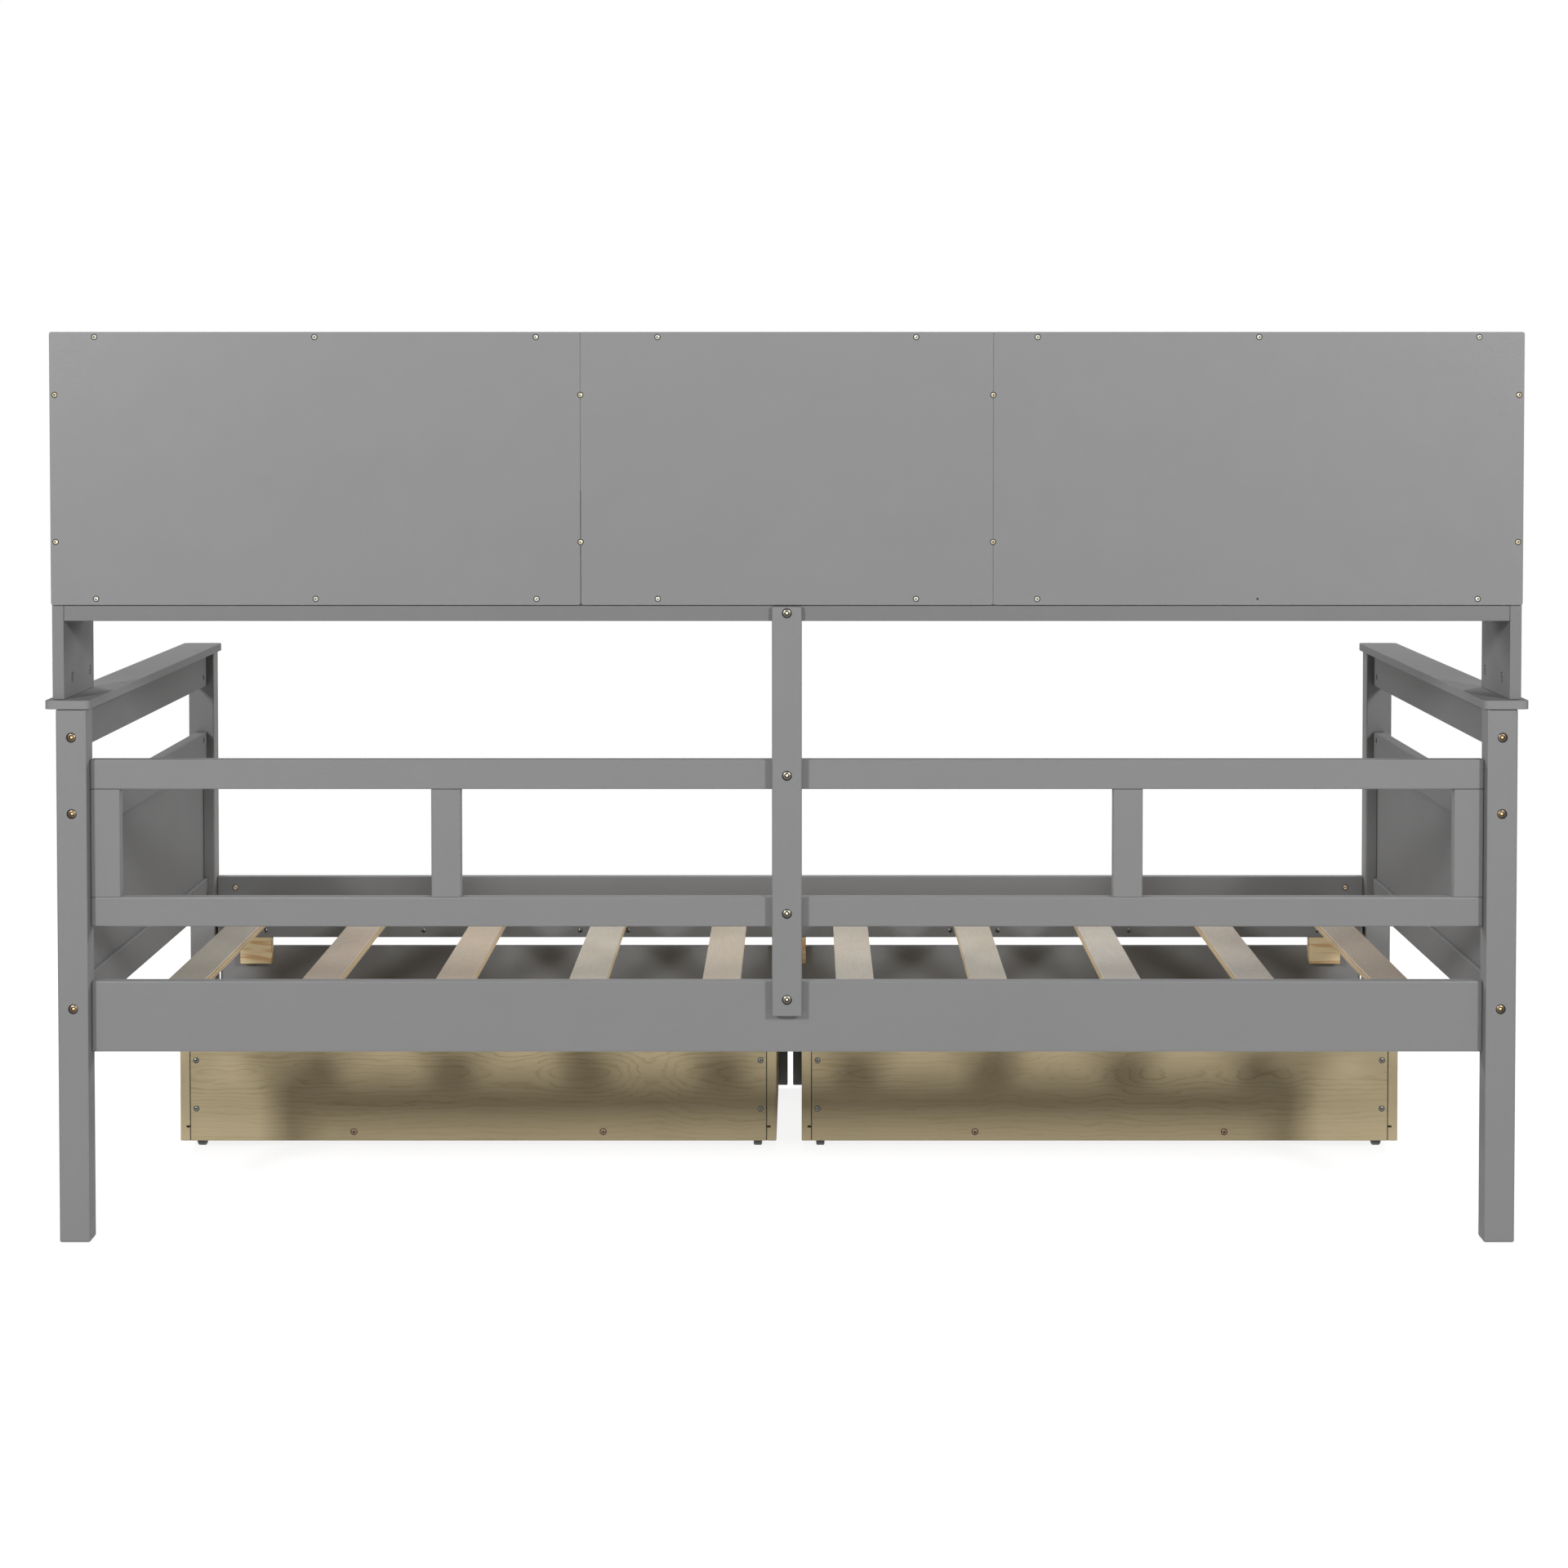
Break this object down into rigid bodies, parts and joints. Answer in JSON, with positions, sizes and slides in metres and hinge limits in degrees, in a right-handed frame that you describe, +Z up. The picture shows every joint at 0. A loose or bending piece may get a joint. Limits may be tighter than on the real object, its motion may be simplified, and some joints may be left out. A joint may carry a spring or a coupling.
{
  "type": "storage daybed",
  "caption": "Wooden daybed with panelled arms, an open back guard, a hutch with three open cubbies over the back and two drawers that roll out on casters.",
  "frame": {"origin": "on the floor, under the middle of the overall box", "axes": "+Z up; -Y towards the open front, where the drawers roll out; +X to the right as seen from the front"},
  "size_m": [2.031, 1.099, 1.2519],
  "materials": {
    "grey_paint": "satin",
    "slat_wood": "matte",
    "maple_foil": "satin",
    "panel_core": "matte",
    "dark_plastic": "matte",
    "pine_block": "matte",
    "zinc_screw": "satin",
    "brass_bolt": "satin",
    "knob_metal": "satin"
  },
  "bodies": {
    "bed_frame": {"arm_cap_left": "grey_paint", "arm_cap_right": "grey_paint", "arm_lower_rail_left": "grey_paint", "arm_lower_rail_right": "grey_paint", "arm_middle_rail_left": "grey_paint", "arm_middle_rail_right": "grey_paint", "arm_panel_left": "grey_paint", "arm_panel_right": "grey_paint", "arm_top_rail_left": "grey_paint", "arm_top_rail_right": "grey_paint", "back_centre_strap": "grey_paint", "back_lower_rail_and_stiles": "grey_paint", "back_top_rail": "grey_paint", "hutch_back_centre": "grey_paint", "hutch_back_left": "grey_paint", "hutch_back_right": "grey_paint", "hutch_bottom": "grey_paint", "hutch_divider_left": "grey_paint", "hutch_divider_right": "grey_paint", "hutch_rear_rail": "grey_paint", "hutch_side_left": "grey_paint", "hutch_side_right": "grey_paint", "hutch_top": "grey_paint", "post_front_left": "grey_paint", "post_front_right": "grey_paint", "post_rear_left": "grey_paint", "post_rear_right": "grey_paint", "side_rail_front": "grey_paint", "side_rail_rear": "grey_paint", "slat_01": "slat_wood", "slat_02": "slat_wood", "slat_03": "slat_wood", "slat_04": "slat_wood", "slat_05": "slat_wood", "slat_06": "slat_wood", "slat_07": "slat_wood", "slat_08": "slat_wood", "slat_09": "slat_wood", "slat_10": "slat_wood", "slat_cleat_front": "grey_paint", "slat_cleat_rear": "grey_paint"},
    "drawer_left": {"drawer_left_back": "maple_foil", "drawer_left_bottom": "panel_core", "drawer_left_front": "grey_paint", "drawer_left_side_inner": "maple_foil", "drawer_left_side_outer": "maple_foil"},
    "drawer_right": {"drawer_right_back": "maple_foil", "drawer_right_bottom": "panel_core", "drawer_right_front": "grey_paint", "drawer_right_side_inner": "maple_foil", "drawer_right_side_outer": "maple_foil"},
    "drawer_left_wheel_front_inner": {"drawer_left_wheel_front_inner": "dark_plastic"},
    "drawer_left_wheel_front_outer": {"drawer_left_wheel_front_outer": "dark_plastic"},
    "drawer_left_wheel_rear_inner": {"drawer_left_wheel_rear_inner": "dark_plastic"},
    "drawer_left_wheel_rear_outer": {"drawer_left_wheel_rear_outer": "dark_plastic"},
    "drawer_right_wheel_front_inner": {"drawer_right_wheel_front_inner": "dark_plastic"},
    "drawer_right_wheel_front_outer": {"drawer_right_wheel_front_outer": "dark_plastic"},
    "drawer_right_wheel_rear_inner": {"drawer_right_wheel_rear_inner": "dark_plastic"},
    "drawer_right_wheel_rear_outer": {"drawer_right_wheel_rear_outer": "dark_plastic"}
  },
  "joints": [
    {"name": "drawer_left_slide", "type": "slide", "parent": "bed_frame", "child": "drawer_left", "axis": [0, -1, 0], "range_m": [0, 0.5]},
    {"name": "drawer_left_wheel_front_inner_spin", "type": "hinge", "parent": "drawer_left", "child": "drawer_left_wheel_front_inner", "pos_m": [-0.0485, -0.4925, 0.0145], "axis": [1, 0, 0], "continuous": true},
    {"name": "drawer_left_wheel_front_outer_spin", "type": "hinge", "parent": "drawer_left", "child": "drawer_left_wheel_front_outer", "pos_m": [-0.911, -0.4925, 0.0145], "axis": [1, 0, 0], "continuous": true},
    {"name": "drawer_left_wheel_rear_inner_spin", "type": "hinge", "parent": "drawer_left", "child": "drawer_left_wheel_rear_inner", "pos_m": [-0.0485, -0.0762, 0.0145], "axis": [1, 0, 0], "continuous": true},
    {"name": "drawer_left_wheel_rear_outer_spin", "type": "hinge", "parent": "drawer_left", "child": "drawer_left_wheel_rear_outer", "pos_m": [-0.911, -0.0762, 0.0145], "axis": [1, 0, 0], "continuous": true},
    {"name": "drawer_right_slide", "type": "slide", "parent": "bed_frame", "child": "drawer_right", "axis": [0, -1, 0], "range_m": [0, 0.5]},
    {"name": "drawer_right_wheel_front_inner_spin", "type": "hinge", "parent": "drawer_right", "child": "drawer_right_wheel_front_inner", "pos_m": [0.0485, -0.4925, 0.0145], "axis": [1, 0, 0], "continuous": true},
    {"name": "drawer_right_wheel_front_outer_spin", "type": "hinge", "parent": "drawer_right", "child": "drawer_right_wheel_front_outer", "pos_m": [0.911, -0.4925, 0.0145], "axis": [1, 0, 0], "continuous": true},
    {"name": "drawer_right_wheel_rear_inner_spin", "type": "hinge", "parent": "drawer_right", "child": "drawer_right_wheel_rear_inner", "pos_m": [0.0485, -0.0762, 0.0145], "axis": [1, 0, 0], "continuous": true},
    {"name": "drawer_right_wheel_rear_outer_spin", "type": "hinge", "parent": "drawer_right", "child": "drawer_right_wheel_rear_outer", "pos_m": [0.911, -0.0762, 0.0145], "axis": [1, 0, 0], "continuous": true}
  ],
  "couplings": [
    {"joint": "drawer_left_wheel_front_inner_spin", "follows": "drawer_left_slide", "rad_per_m": 68.966},
    {"joint": "drawer_left_wheel_front_outer_spin", "follows": "drawer_left_slide", "rad_per_m": 68.966},
    {"joint": "drawer_left_wheel_rear_inner_spin", "follows": "drawer_left_slide", "rad_per_m": 68.966},
    {"joint": "drawer_left_wheel_rear_outer_spin", "follows": "drawer_left_slide", "rad_per_m": 68.966},
    {"joint": "drawer_right_wheel_front_inner_spin", "follows": "drawer_right_slide", "rad_per_m": 68.966},
    {"joint": "drawer_right_wheel_front_outer_spin", "follows": "drawer_right_slide", "rad_per_m": 68.966},
    {"joint": "drawer_right_wheel_rear_inner_spin", "follows": "drawer_right_slide", "rad_per_m": 68.966},
    {"joint": "drawer_right_wheel_rear_outer_spin", "follows": "drawer_right_slide", "rad_per_m": 68.966}
  ]
}
